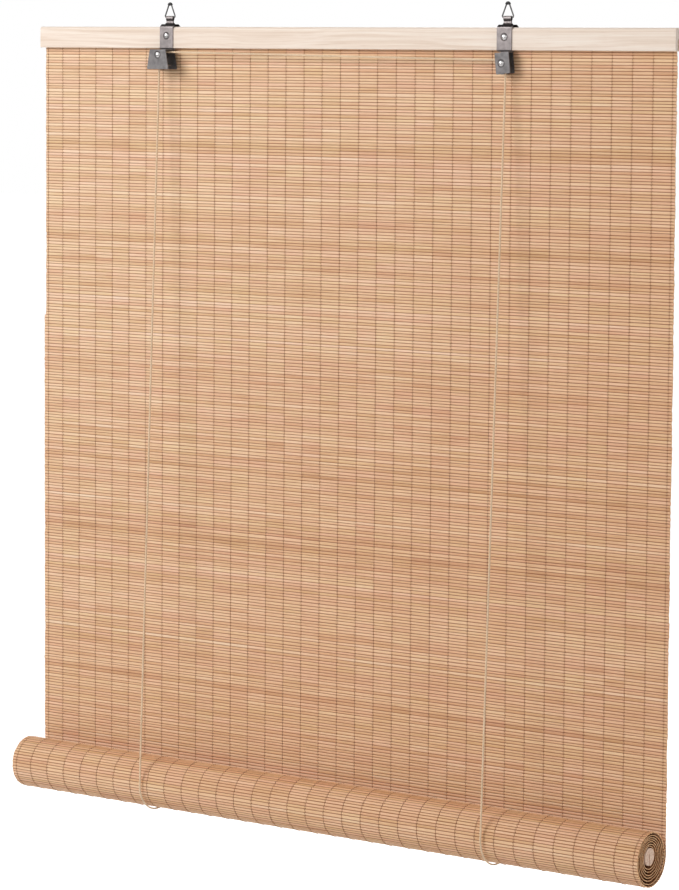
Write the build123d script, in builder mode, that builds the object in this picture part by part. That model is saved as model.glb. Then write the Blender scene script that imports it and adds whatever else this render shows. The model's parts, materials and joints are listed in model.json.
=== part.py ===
"""Bamboo roller shade: a slat mat on a head rail, rolled up on a dowel and lifted by a cord.

Millimetres. X runs along the rail to the right, Y from the front to the back and Z up.
The origin is the middle of the line on which the two hangers hang.
"""
import os
from math import asin, atan2, cos, hypot, pi, radians, sin, sqrt

from build123d import *

os.makedirs("parts", exist_ok=True)

# Clearances
FIT = 0.05           # radial, of a shaft in its hole
RUNNING_GAP = 0.3    # between pieces that move past each other

# Head rail
RAIL_LENGTH = 914.0
RAIL_HEIGHT = 26.0
RAIL_THICKNESS = 13.5
RAIL_TOP_RADIUS = 3.5
RAIL_EDGE_RADIUS = 1.0
GROOVE_WIDTH = 2.6
GROOVE_DEPTH = 13.0

# Slat mat
MAT_SETBACK = 1.0       # from each end of the rail to the mat's edge
SLAT_PITCH = 3.6
SLAT_THICKNESS = 1.6
SLAT_VALLEY = 0.45      # depth of the valley between two slats, on each face
SLAT_SHOULDER = 0.28    # part of the pitch that a slat's rounded shoulder takes
ROLL_RADIUS = 33.0
ROLL_TURNS = 7.25
ROLL_DROP = 926.0       # from the rail's top to the middle of the roll
DOWEL_RADIUS = 10.0
DOWEL_SETBACK = 1.0     # from the mat's edge to the dowel's end
DOWEL_RISE = 3.2        # the loose turns hang lower and further back than the dowel
DOWEL_FORWARD = 3.0
KERF_DEPTH = 14.0
TONGUE_PLAY = 1.0       # left above the mat's edge in the kerf

# Straps and their rivets
SHEET = 1.0
STRAP_WIDTH = 20.0
STRAP_LEFT_X = -256.0
STRAP_RIGHT_X = 233.0
STRAP_BEND = 1.3        # middle radius of a bend
STRAP_TIGHT_BEND = 0.7  # at the leaf
TENT_RISE = 5.0         # the strap slopes up from the rail's two top edges to its neck
NECK_RISE = 3.2         # from the rail's top to where the strap narrows
NECK_WIDTH = 10.2
EYE_ABOVE_RAIL = 11.2
EYE_FLARE = 1.4         # below the middle of the eye: here its walls start to close in
EYE_PINCH = 3.4         # below the middle of the eye: here its walls meet
BACK_LEG_DROP = 36.0    # drops are measured down from the rail's top
LEAF_DROP = 46.0
LEAF_WIDTH = 14.0
LEAF_SETBACK = 3.1      # from the rail's front to the leaf's front
RIVET_DIAMETER = 2.6
RIVET_HEAD_DIAMETER = 7.0
RIVET_HEAD_HEIGHT = 1.4
STRAP_RIVET_DROP = 10.8

# Hangers
WIRE = 1.7
HANGER_BASE = 16.8      # of the triangle before its corners are rounded
HANGER_PEAK = 20.2
HANGER_CORNER_RADIUS = 2.0
SLEEVE_DIAMETER = 3.2
SLEEVE_REACH = 5.6      # along each side of the triangle from its peak
SLEEVE_BEND = 0.4       # inside the sleeve's bend, over its own radius

# Cord lock, on the left
LOCK_DEPTH = 18.0
LOCK_TOP_WIDTH = 24.4
LOCK_BOTTOM_WIDTH = 33.4
LOCK_HEIGHT = 24.0
LOCK_TOP_DROP = 27.6
LOCK_AXLE_DROP = 33.8
LOCK_OFFSET = 2.6       # to the left of its strap
ROLLER_RADIUS = 2.6
ROLLER_FLUTES = 12
ROLLER_BELOW_AXLE = 9.0
RAMP_LEAN = 22.0        # degrees from upright
RAMP_BELOW_ROLLER = 4.0
RAMP_ABOVE_ROLLER = 6.0
SPACER_OUT = 9.1        # from the axle to the spacer pin
SPACER_BELOW_AXLE = 12.2

# Pulley, on the right
PULLEY_DEPTH = 10.0
PULLEY_WIDTH = 19.2
PULLEY_HEIGHT = 24.6
PULLEY_AXLE_DROP = 40.7
PULLEY_OFFSET = 1.6     # from the axle to the middle of the plate
PULLEY_TILT = 6.0       # degrees, the housing sits askew on its rivet
PLATE_CORNER_RADIUS = 1.4
PLATE_EDGE_RADIUS = 0.5 # round the front face of both housings

# Cord
CORD_DIAMETER = 2.5
CORD_ON_WHEEL = 3.5     # from an axle to the middle of the cord on its wheel
WHEEL_RADIUS = 4.9
BIGHT_LEFT_X = -248.0
BIGHT_RIGHT_X = 250.0
KNOT_LEFT_X = -252.0
KNOT_RIGHT_X = 239.0
KNOT_RADIUS = 3.2
KNOT_BELOW_RAIL = 5.0
CROSS_TAIL = 9.0        # of the cross run, down from a wheel's corner

# Places worked out from the driving dimensions
CORD_RADIUS = CORD_DIAMETER / 2
TIP_RADIUS = SLEEVE_DIAMETER / 2 + SLEEVE_BEND
HALF_PEAK_ANGLE = atan2(HANGER_BASE / 2, HANGER_PEAK)
HANGER_HEIGHT = HANGER_PEAK - TIP_RADIUS * (1 / sin(HALF_PEAK_ANGLE) - 1)
RAIL_TOP = SLEEVE_DIAMETER / 2 - HANGER_HEIGHT - EYE_ABOVE_RAIL
RAIL_BOTTOM = RAIL_TOP - RAIL_HEIGHT
RAIL_FRONT = -RAIL_THICKNESS / 2
RAIL_BACK = RAIL_THICKNESS / 2
EYE_Z = RAIL_TOP + EYE_ABOVE_RAIL
EYE_RADIUS = WIRE / 2 + RUNNING_GAP + SHEET / 2
EYE_BEND = 0.99 * EYE_RADIUS    # two bends make the eye, with a short flat left between them
MAT_WIDTH = RAIL_LENGTH - 2 * MAT_SETBACK
MAT_TOP = RAIL_BOTTOM + GROOVE_DEPTH
ROLL_MIDDLE_RADIUS = ROLL_RADIUS - SLAT_THICKNESS / 2
ROLL_Y = -ROLL_MIDDLE_RADIUS
ROLL_Z = RAIL_TOP - ROLL_DROP
DOWEL_LENGTH = MAT_WIDTH - 2 * DOWEL_SETBACK
DOWEL_Y = ROLL_Y - DOWEL_FORWARD
DOWEL_Z = ROLL_Z + DOWEL_RISE
LEAF_FRONT = RAIL_FRONT + LEAF_SETBACK
LOCK_X = STRAP_LEFT_X - LOCK_OFFSET
LOCK_AXLE_Z = RAIL_TOP - LOCK_AXLE_DROP
LOCK_LANE_Y = LEAF_FRONT - LOCK_DEPTH / 2
SPACER_X = LOCK_X + SPACER_OUT
SPACER_Z = LOCK_AXLE_Z - SPACER_BELOW_AXLE
PULLEY_X = STRAP_RIGHT_X
PULLEY_AXLE_Z = RAIL_TOP - PULLEY_AXLE_DROP
PULLEY_LANE_Y = LEAF_FRONT - PULLEY_DEPTH / 2
BIGHT_RADIUS = ROLL_RADIUS + RUNNING_GAP + CORD_RADIUS
KNOT_Z = RAIL_BOTTOM - KNOT_BELOW_RAIL


def save(part, name):
    """Label a finished piece and write its STEP file."""
    part.label = name
    export_step(part, f"parts/{name}.step")


def facing_front(x, y, z, tilt=0.0):
    """Plane at a point, seen from the front: its X to the right and its normal to the front."""
    return Plane(origin=(x, y, z), x_dir=(cos(radians(tilt)), 0, sin(radians(tilt))), z_dir=(0, -1, 0))


# Head rail, with the groove for the mat and a hole for each strap rivet
with BuildPart() as head_rail:
    with BuildSketch(Plane.YZ):
        with Locations((0, (RAIL_TOP + RAIL_BOTTOM) / 2)):
            Rectangle(RAIL_THICKNESS, RAIL_HEIGHT)
        fillet(vertices().group_by(Axis.Y)[-1], RAIL_TOP_RADIUS)
        fillet(vertices().group_by(Axis.Y)[0], RAIL_EDGE_RADIUS)
        with Locations((0, RAIL_BOTTOM + GROOVE_DEPTH / 2)):
            Rectangle(GROOVE_WIDTH, GROOVE_DEPTH, mode=Mode.SUBTRACT)
    extrude(amount=RAIL_LENGTH / 2, both=True)
    for strap_x in (STRAP_LEFT_X, STRAP_RIGHT_X):
        with Locations(facing_front(strap_x, RAIL_FRONT, RAIL_TOP - STRAP_RIVET_DROP)):
            Hole(RIVET_DIAMETER / 2 + FIT, depth=RAIL_THICKNESS)
save(head_rail.part, "head_rail")


# Hanging part of the mat: one wall with a ridge for each slat on both faces
def hanging_face(side):
    """Points down one face of the hanging mat: side is -1 at the front and 1 at the back."""
    ridge = side * SLAT_THICKNESS / 2
    valley = side * (SLAT_THICKNESS / 2 - SLAT_VALLEY)
    points = []
    for slat in range(int((MAT_TOP - ROLL_Z) / SLAT_PITCH)):
        top = MAT_TOP - slat * SLAT_PITCH
        points.append((valley, top))
        points.append((ridge, top - SLAT_SHOULDER * SLAT_PITCH))
        points.append((ridge, top - (1 - SLAT_SHOULDER) * SLAT_PITCH))
    points.append((valley, ROLL_Z + RUNNING_GAP))
    return points


with BuildPart() as mat_hanging:
    with BuildSketch(Plane.YZ):
        with BuildLine():
            Polyline(*hanging_face(-1), *reversed(hanging_face(1)), close=True)
        make_face()
    extrude(amount=MAT_WIDTH / 2, both=True)
save(mat_hanging.part, "mat_hanging")


# Rolled part of the mat: a spiral from the back of the roll, down and forwards, in to the dowel
def spiral_radius(turns):
    """Middle radius of the mat after a number of turns in from its outer end."""
    inner = DOWEL_RADIUS + SLAT_THICKNESS / 2
    return ROLL_MIDDLE_RADIUS + turns / ROLL_TURNS * (inner - ROLL_MIDDLE_RADIUS)


def spiral_point(turns, outwards):
    """Point of the spiral in the YZ plane, so far outwards from the middle of the mat."""
    inwards = turns / ROLL_TURNS
    radius = spiral_radius(turns) + outwards
    centre_y = ROLL_Y + inwards * (DOWEL_Y - ROLL_Y)
    centre_z = ROLL_Z + inwards * (DOWEL_Z - ROLL_Z)
    return (centre_y + radius * cos(-2 * pi * turns), centre_z + radius * sin(-2 * pi * turns))


def slat_joints(first, last):
    """Places, in turns, where one slat of the spiral ends and the next begins."""
    joints = [first]
    while joints[-1] < last:
        joints.append(joints[-1] + SLAT_PITCH / (2 * pi * spiral_radius(joints[-1])))
    joints[-1] = last
    return joints


half_slat = SLAT_THICKNESS / 2
outer_face = []
outer_turn = slat_joints(0, 1)
for start, end in zip(outer_turn, outer_turn[1:]):
    shoulder = SLAT_SHOULDER * (end - start)
    outer_face.append(spiral_point(start, half_slat - SLAT_VALLEY))
    outer_face.append(spiral_point(start + shoulder, half_slat))
    outer_face.append(spiral_point(end - shoulder, half_slat))
outer_face += [spiral_point(turns, half_slat) for turns in slat_joints(1, ROLL_TURNS)]
inner_face = [spiral_point(turns, -half_slat) for turns in slat_joints(0, ROLL_TURNS)]
tongue_length = KERF_DEPTH - TONGUE_PLAY

with BuildPart() as mat_roll:
    with BuildSketch(Plane.YZ):
        with BuildLine():
            Polyline(*outer_face, *reversed(inner_face), close=True)
        make_face()
        with Locations((DOWEL_Y, DOWEL_Z - DOWEL_RADIUS - half_slat + tongue_length / 2)):
            Rectangle(SLAT_THICKNESS, tongue_length)
    extrude(amount=MAT_WIDTH / 2, both=True)
save(mat_roll.part, "mat_roll")

# Dowel, with the kerf that holds the lower edge of the mat
with BuildPart() as dowel:
    with BuildSketch(Plane.YZ):
        with Locations((DOWEL_Y, DOWEL_Z)):
            Circle(DOWEL_RADIUS - FIT)
        with Locations((DOWEL_Y, DOWEL_Z - DOWEL_RADIUS + KERF_DEPTH / 2)):
            Rectangle(SLAT_THICKNESS + 2 * FIT, KERF_DEPTH, mode=Mode.SUBTRACT)
    extrude(amount=DOWEL_LENGTH / 2, both=True)
save(dowel.part, "dowel")


# Straps: a sheet folded over the rail, with an eye above and a leaf below for the housing
def strap(x, axle_x, axle_z, knot_x):
    front = RAIL_FRONT - SHEET / 2
    back = RAIL_BACK + SHEET / 2
    leaf = LEAF_FRONT + SHEET / 2
    under_rail = RAIL_BOTTOM - FIT - SHEET / 2
    pinched = SHEET / 2 + FIT
    through_sheet = 2 * SHEET
    with BuildPart() as folded:
        with BuildSketch(Plane.YZ.offset(x)):
            with BuildLine():
                FilletPolyline(
                    (leaf, RAIL_TOP - LEAF_DROP),
                    (leaf, under_rail),
                    (front, under_rail),
                    (front, RAIL_TOP),
                    (-pinched, RAIL_TOP + TENT_RISE),
                    (-pinched, EYE_Z - EYE_PINCH),
                    (-EYE_RADIUS, EYE_Z - EYE_FLARE),
                    (-EYE_RADIUS, EYE_Z + EYE_RADIUS),
                    (EYE_RADIUS, EYE_Z + EYE_RADIUS),
                    (EYE_RADIUS, EYE_Z - EYE_FLARE),
                    (pinched, EYE_Z - EYE_PINCH),
                    (pinched, RAIL_TOP + TENT_RISE),
                    (back, RAIL_TOP),
                    (back, RAIL_TOP - BACK_LEG_DROP),
                    radius=[
                        STRAP_TIGHT_BEND, STRAP_BEND, STRAP_BEND, STRAP_BEND, STRAP_BEND, STRAP_BEND,
                        EYE_BEND, EYE_BEND, STRAP_BEND, STRAP_BEND, STRAP_BEND, STRAP_BEND,
                    ],
                )
            trace(line_width=SHEET)
        extrude(amount=STRAP_WIDTH / 2, both=True)
        for edge_x in (x - STRAP_WIDTH / 2, x + STRAP_WIDTH / 2):
            with Locations((edge_x, 0, RAIL_TOP + NECK_RISE)):
                Box(
                    STRAP_WIDTH - NECK_WIDTH, RAIL_THICKNESS, EYE_ABOVE_RAIL + 2 * EYE_RADIUS,
                    align=(Align.CENTER, Align.CENTER, Align.MIN), mode=Mode.SUBTRACT,
                )
            with Locations((edge_x, leaf, under_rail - STRAP_BEND)):
                Box(
                    STRAP_WIDTH - LEAF_WIDTH, through_sheet, LEAF_DROP,
                    align=(Align.CENTER, Align.CENTER, Align.MAX), mode=Mode.SUBTRACT,
                )
        with Locations(facing_front(x, 0, RAIL_TOP - STRAP_RIVET_DROP)):
            Hole(RIVET_DIAMETER / 2 + FIT)
        with Locations(facing_front(axle_x, LEAF_FRONT, axle_z)):
            Hole(RIVET_DIAMETER / 2 + FIT, depth=through_sheet)
        with Locations(facing_front(knot_x, RAIL_BACK, KNOT_Z)):
            Hole(CORD_RADIUS + FIT, depth=through_sheet)
    return folded.part


save(strap(STRAP_LEFT_X, LOCK_X, LOCK_AXLE_Z, KNOT_LEFT_X), "strap_left")
save(strap(STRAP_RIGHT_X, PULLEY_X, PULLEY_AXLE_Z, KNOT_RIGHT_X), "strap_right")


# Rivets: a shaft with a low domed head at each end
def rivet(x, z, front, back):
    shaft = RIVET_DIAMETER / 2
    head = RIVET_HEAD_DIAMETER / 2
    with BuildPart() as turned:
        with BuildSketch(Plane(origin=(x, 0, z), x_dir=(1, 0, 0), z_dir=(0, 0, 1))):
            with BuildLine():
                TangentArc((0, front - RIVET_HEAD_HEIGHT), (head, front), tangent=(1, 0))
                Polyline((head, front), (shaft, front), (shaft, back), (head, back))
                TangentArc((0, back + RIVET_HEAD_HEIGHT), (head, back), tangent=(1, 0))
                Line((0, back + RIVET_HEAD_HEIGHT), (0, front - RIVET_HEAD_HEIGHT))
            make_face()
        revolve(axis=Axis((x, 0, z), (0, 1, 0)))
    return turned.part


for strap_name, strap_x in (("left", STRAP_LEFT_X), ("right", STRAP_RIGHT_X)):
    through_rail = rivet(strap_x, RAIL_TOP - STRAP_RIVET_DROP, RAIL_FRONT - SHEET, RAIL_BACK + SHEET)
    save(through_rail, f"strap_rivet_{strap_name}")
save(rivet(LOCK_X, LOCK_AXLE_Z, LEAF_FRONT - LOCK_DEPTH, LEAF_FRONT + SHEET), "lock_axle")
save(rivet(PULLEY_X, PULLEY_AXLE_Z, LEAF_FRONT - PULLEY_DEPTH, LEAF_FRONT + SHEET), "pulley_axle")


# Hangers: a wire triangle through each eye, with a sleeve over its tip
def hanger(x):
    with BuildPart() as bent:
        with BuildLine(facing_front(x, 0, EYE_Z)) as wire:
            FilletPolyline(
                (-HANGER_BASE / 2, 0), (HANGER_BASE / 2, 0), (0, HANGER_PEAK),
                radius=[HANGER_CORNER_RADIUS, HANGER_CORNER_RADIUS, TIP_RADIUS],
                close=True,
            )
        with BuildSketch(Plane(origin=wire.line @ 0, z_dir=wire.line % 0)):
            Circle(WIRE / 2)
        sweep()
    return bent.part


def hanger_sleeve(x):
    end_x = SLEEVE_REACH * sin(HALF_PEAK_ANGLE)
    end_z = HANGER_PEAK - SLEEVE_REACH * cos(HALF_PEAK_ANGLE)
    with BuildPart() as bent:
        with BuildLine(facing_front(x, 0, EYE_Z)) as wire:
            FilletPolyline((-end_x, end_z), (0, HANGER_PEAK), (end_x, end_z), radius=TIP_RADIUS)
        with BuildSketch(Plane(origin=wire.line @ 0, z_dir=wire.line % 0)):
            Circle(SLEEVE_DIAMETER / 2)
            Circle(WIRE / 2 + FIT, mode=Mode.SUBTRACT)
        sweep()
    return bent.part


for strap_name, strap_x in (("left", STRAP_LEFT_X), ("right", STRAP_RIGHT_X)):
    save(hanger(strap_x), f"hanger_{strap_name}")
    save(hanger_sleeve(strap_x), f"hanger_sleeve_{strap_name}")

# Lock housing: two trapezoid plates under one top, and an inner ramp for the roller
left_drop_x = LOCK_X - CORD_ON_WHEEL
roller_x = left_drop_x - CORD_RADIUS - 2 * RUNNING_GAP - ROLLER_RADIUS
roller_z = LOCK_AXLE_Z - ROLLER_BELOW_AXLE
lock_face = facing_front(LOCK_X, LEAF_FRONT, RAIL_TOP - LOCK_TOP_DROP)
ramp_face = Plane(
    origin=(roller_x, LEAF_FRONT - SHEET, roller_z),
    x_dir=(cos(radians(RAMP_LEAN)), 0, sin(radians(RAMP_LEAN))),
    z_dir=(0, -1, 0),
)

with BuildPart() as lock_housing:
    with BuildSketch(lock_face):
        with BuildLine():
            Polyline(
                (-LOCK_TOP_WIDTH / 2, 0), (LOCK_TOP_WIDTH / 2, 0),
                (LOCK_BOTTOM_WIDTH / 2, -LOCK_HEIGHT), (-LOCK_BOTTOM_WIDTH / 2, -LOCK_HEIGHT),
                close=True,
            )
        make_face()
        fillet(vertices().group_by(Axis.Y)[0], PLATE_CORNER_RADIUS)
    extrude(amount=LOCK_DEPTH)
    with BuildSketch(lock_face.offset(SHEET)):
        with Locations((0, -SHEET)):
            Rectangle(2 * LOCK_BOTTOM_WIDTH, 2 * LOCK_HEIGHT, align=(Align.CENTER, Align.MAX))
    extrude(amount=LOCK_DEPTH - 2 * SHEET, mode=Mode.SUBTRACT)
    with BuildSketch(ramp_face):
        with Locations((-ROLLER_RADIUS - RUNNING_GAP, -RAMP_BELOW_ROLLER)):
            Rectangle(SHEET, RAMP_BELOW_ROLLER + RAMP_ABOVE_ROLLER, align=(Align.MAX, Align.MIN))
    extrude(amount=LOCK_DEPTH - 2 * SHEET)
    for pin_x, pin_z in ((LOCK_X, LOCK_AXLE_Z), (SPACER_X, SPACER_Z)):
        with Locations(facing_front(pin_x, LEAF_FRONT - LOCK_DEPTH, pin_z)):
            Hole(RIVET_DIAMETER / 2 + FIT, depth=LOCK_DEPTH)
    fillet(faces().sort_by(Axis.Y)[0].outer_wire().edges(), PLATE_EDGE_RADIUS)
save(lock_housing.part, "lock_housing")

# Spacer pin that keeps the lock's plates apart, flush at both ends
with BuildPart() as lock_spacer:
    with BuildSketch(facing_front(SPACER_X, LEAF_FRONT, SPACER_Z)):
        Circle(RIVET_DIAMETER / 2)
    extrude(amount=LOCK_DEPTH)
save(lock_spacer.part, "lock_spacer")

# Locking roller: fluted, loose between the plates, it climbs the ramp to let the cord go
with BuildPart() as lock_roller:
    with BuildSketch(facing_front(roller_x, LEAF_FRONT - SHEET - RUNNING_GAP, roller_z)):
        Circle(ROLLER_RADIUS)
        with PolarLocations(ROLLER_RADIUS, ROLLER_FLUTES):
            Circle(RUNNING_GAP, mode=Mode.SUBTRACT)
    extrude(amount=LOCK_DEPTH - 2 * (SHEET + RUNNING_GAP))
save(lock_roller.part, "lock_roller")

# Pulley housing: two square plates under one top
pulley_face = facing_front(PULLEY_X, LEAF_FRONT, PULLEY_AXLE_Z, PULLEY_TILT)

with BuildPart() as pulley_housing:
    with BuildSketch(pulley_face):
        with Locations((PULLEY_OFFSET, 0)):
            Rectangle(PULLEY_WIDTH, PULLEY_HEIGHT)
        fillet(vertices().group_by(Axis.Y)[0], PLATE_CORNER_RADIUS)
    extrude(amount=PULLEY_DEPTH)
    with BuildSketch(pulley_face.offset(SHEET)):
        with Locations((0, PULLEY_HEIGHT / 2 - SHEET)):
            Rectangle(2 * PULLEY_WIDTH, 2 * PULLEY_HEIGHT, align=(Align.CENTER, Align.MAX))
    extrude(amount=PULLEY_DEPTH - 2 * SHEET, mode=Mode.SUBTRACT)
    with Locations(facing_front(PULLEY_X, LEAF_FRONT - PULLEY_DEPTH, PULLEY_AXLE_Z)):
        Hole(RIVET_DIAMETER / 2 + FIT, depth=PULLEY_DEPTH)
    fillet(faces().sort_by(Axis.Y)[0].outer_wire().edges(), PLATE_EDGE_RADIUS)
save(pulley_housing.part, "pulley_housing")


# Wheels: a groove for the cord between two flanges, running on the axle
def wheel(x, z, lane_y, width):
    groove = CORD_RADIUS + RUNNING_GAP
    with BuildPart() as turned:
        with BuildSketch(Plane(origin=(x, lane_y, z), x_dir=(1, 0, 0), z_dir=(0, 0, 1))):
            with BuildLine():
                Polyline(
                    (CORD_ON_WHEEL, groove), (WHEEL_RADIUS, groove + RUNNING_GAP),
                    (WHEEL_RADIUS, width / 2), (RIVET_DIAMETER / 2 + FIT, width / 2),
                    (RIVET_DIAMETER / 2 + FIT, -width / 2), (WHEEL_RADIUS, -width / 2),
                    (WHEEL_RADIUS, -groove - RUNNING_GAP), (CORD_ON_WHEEL, -groove),
                )
                ThreePointArc((CORD_ON_WHEEL, -groove), (CORD_ON_WHEEL - groove, 0), (CORD_ON_WHEEL, groove))
            make_face()
        revolve(axis=Axis((x, lane_y, z), (0, 1, 0)))
    return turned.part


side_play = 2 * (SHEET + RUNNING_GAP)
save(wheel(LOCK_X, LOCK_AXLE_Z, LOCK_LANE_Y, LOCK_DEPTH - side_play), "lock_wheel")
save(wheel(PULLEY_X, PULLEY_AXLE_Z, PULLEY_LANE_Y, PULLEY_DEPTH - side_play), "pulley_wheel")


# Cord: from the knot behind one strap, under the roll and up to the pulley, across to the lock
# wheel, down to the roll again and up to the knot behind the other strap
def touching_point(y, z, side):
    """Where a line from (y, z) touches the bight's circle: side is 1 in front and -1 behind."""
    away_y = ROLL_Y - y
    away_z = ROLL_Z - z
    distance = hypot(away_y, away_z)
    angle = atan2(away_z, away_y) - side * asin(BIGHT_RADIUS / distance)
    reach = sqrt(distance**2 - BIGHT_RADIUS**2)
    return Vector(0, y + reach * cos(angle), z + reach * sin(angle))


def cord_piece(route):
    """Round cord along a route of straight lines and arcs."""
    with BuildPart() as tube:
        with BuildLine() as path:
            add(route)
        with BuildSketch(Plane(origin=path.line @ 0, z_dir=path.line % 0)):
            Circle(CORD_RADIUS)
        sweep()
    return tube.part


def between(start, end, distance):
    """Point at a distance from the start on the way to the end."""
    return start + (end - start).normalized() * distance


cross_corners = {}
for side_name, wheel_edge_x, lane_y, axle_z, bight_x, knot_x in (
    ("left", LOCK_X - CORD_ON_WHEEL, LOCK_LANE_Y, LOCK_AXLE_Z, BIGHT_LEFT_X, KNOT_LEFT_X),
    ("right", PULLEY_X + CORD_ON_WHEEL, PULLEY_LANE_Y, PULLEY_AXLE_Z, BIGHT_RIGHT_X, KNOT_RIGHT_X),
):
    corner = Vector(wheel_edge_x, lane_y, axle_z + CORD_ON_WHEEL)
    front_touch = touching_point(corner.Y, corner.Z, 1) + Vector(bight_x, 0, 0)
    tail = between(corner, front_touch, CROSS_TAIL)
    cross_corners[side_name] = (corner, tail)
    save(cord_piece(Line(tail, between(front_touch, corner, RUNNING_GAP))), f"cord_front_{side_name}")

    strand_top = Vector(knot_x, RAIL_BACK - FIT - CORD_RADIUS, KNOT_Z - CORD_RADIUS)
    back_touch = touching_point(strand_top.Y, strand_top.Z, -1) + Vector(bight_x, 0, 0)
    under_roll = Vector(bight_x, ROLL_Y, ROLL_Z - BIGHT_RADIUS)
    save(cord_piece(ThreePointArc(front_touch, under_roll, back_touch)), f"cord_bight_{side_name}")
    save(cord_piece(Line(between(back_touch, strand_top, RUNNING_GAP), strand_top)), f"cord_back_{side_name}")

    ball_y = RAIL_BACK + SHEET + KNOT_RADIUS
    with BuildPart() as knot:
        with BuildSketch(facing_front(knot_x, ball_y, KNOT_Z)):
            Circle(CORD_RADIUS)
        extrude(amount=ball_y - strand_top.Y + CORD_RADIUS)
        with Locations((knot_x, ball_y, KNOT_Z)):
            Sphere(KNOT_RADIUS)
    save(knot.part, f"knot_{side_name}")

left_corner, left_tail = cross_corners["left"]
right_corner, right_tail = cross_corners["right"]
cross_route = FilletPolyline(right_tail, right_corner, left_corner, left_tail, radius=CORD_ON_WHEEL)
save(cord_piece(cross_route), "cord_cross")
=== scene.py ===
"""Looks of the bamboo roller shade: slats, warp yarns, twisted cords and finishes on the CAD frame.

Metres. X runs along the rail to the right, Y from the front to the back and Z up.
"""

import json
from math import asin, atan2, cos, hypot, pi, radians, sin, sqrt

import bmesh
import bpy
import numpy as np
from mathutils import Matrix, Vector


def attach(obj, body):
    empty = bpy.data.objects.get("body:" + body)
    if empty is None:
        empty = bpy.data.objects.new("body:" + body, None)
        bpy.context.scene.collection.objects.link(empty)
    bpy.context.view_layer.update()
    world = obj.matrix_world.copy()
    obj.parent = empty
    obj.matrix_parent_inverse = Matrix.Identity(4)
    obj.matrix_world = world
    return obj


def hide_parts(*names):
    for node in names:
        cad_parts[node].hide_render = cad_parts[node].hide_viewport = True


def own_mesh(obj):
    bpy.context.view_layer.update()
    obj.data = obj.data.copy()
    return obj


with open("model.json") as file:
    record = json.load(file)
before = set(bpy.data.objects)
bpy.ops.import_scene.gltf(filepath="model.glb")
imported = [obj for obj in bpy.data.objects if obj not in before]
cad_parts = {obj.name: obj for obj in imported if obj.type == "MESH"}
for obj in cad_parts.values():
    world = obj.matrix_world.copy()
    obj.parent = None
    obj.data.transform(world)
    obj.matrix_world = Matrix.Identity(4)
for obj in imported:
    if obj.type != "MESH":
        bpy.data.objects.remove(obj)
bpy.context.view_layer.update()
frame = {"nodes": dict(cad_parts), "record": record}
rng = np.random.default_rng(7)
MM = 0.001

# Sizes that repeat the CAD source
RAIL_TOP = -26.59 * MM
RAIL_BOTTOM = -52.59 * MM
RAIL_BACK = 6.75 * MM
MAT_WIDTH = 912 * MM
MAT_TOP = -39.59 * MM
SLAT_PITCH = 3.6 * MM
HALF_SLAT = 0.8 * MM
ROLL_MIDDLE_RADIUS = 32.2 * MM
ROLL_TURNS = 7.25
ROLL_Y = -32.2 * MM
ROLL_Z = -952.59 * MM
DOWEL_RADIUS = 10 * MM
DOWEL_Y = -35.2 * MM
DOWEL_Z = -949.39 * MM
CORD_RADIUS = 1.25 * MM
CORD_ON_WHEEL = 3.5 * MM
BIGHT_RADIUS = 34.55 * MM

STRAP_X = (-256 * MM, 233 * MM)
STRAP_RIVET_Z = RAIL_TOP - 10.8 * MM
STRAP_FOLDS = (  # from z to z: round the shoulder, and round the neck
    (RAIL_TOP + 0.9 * MM, RAIL_TOP + 4.2 * MM),
    (RAIL_TOP + 6.9 * MM, RAIL_TOP + 9.6 * MM),
)
LOCK_X = -258.6 * MM
LOCK_LANE_Y = -12.65 * MM
LOCK_AXLE_Z = RAIL_TOP - 33.8 * MM
PULLEY_X = 233 * MM
PULLEY_LANE_Y = -8.65 * MM
PULLEY_AXLE_Z = RAIL_TOP - 40.7 * MM
KNOT_Z = RAIL_BOTTOM - 5 * MM

HANGING_LENGTH = MAT_TOP - ROLL_Z
HANGING_SLATS = round(HANGING_LENGTH / SLAT_PITCH)

# Warp lines, each a pair of twined yarns
WARP_PITCH = 26.6 * MM
WARP_LINES = 35
WARP_EDGES = (7 * MM, 5.5 * MM)  # from the mat's left and right edge to the outermost lines


def srgb(red, green, blue):
    """Linear colour of an sRGB colour given as 0 to 255."""
    values = [v / 255 for v in (red, green, blue)]
    return [v / 12.92 if v <= 0.04045 else ((v + 0.055) / 1.055) ** 2.4 for v in values] + [1.0]


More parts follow.
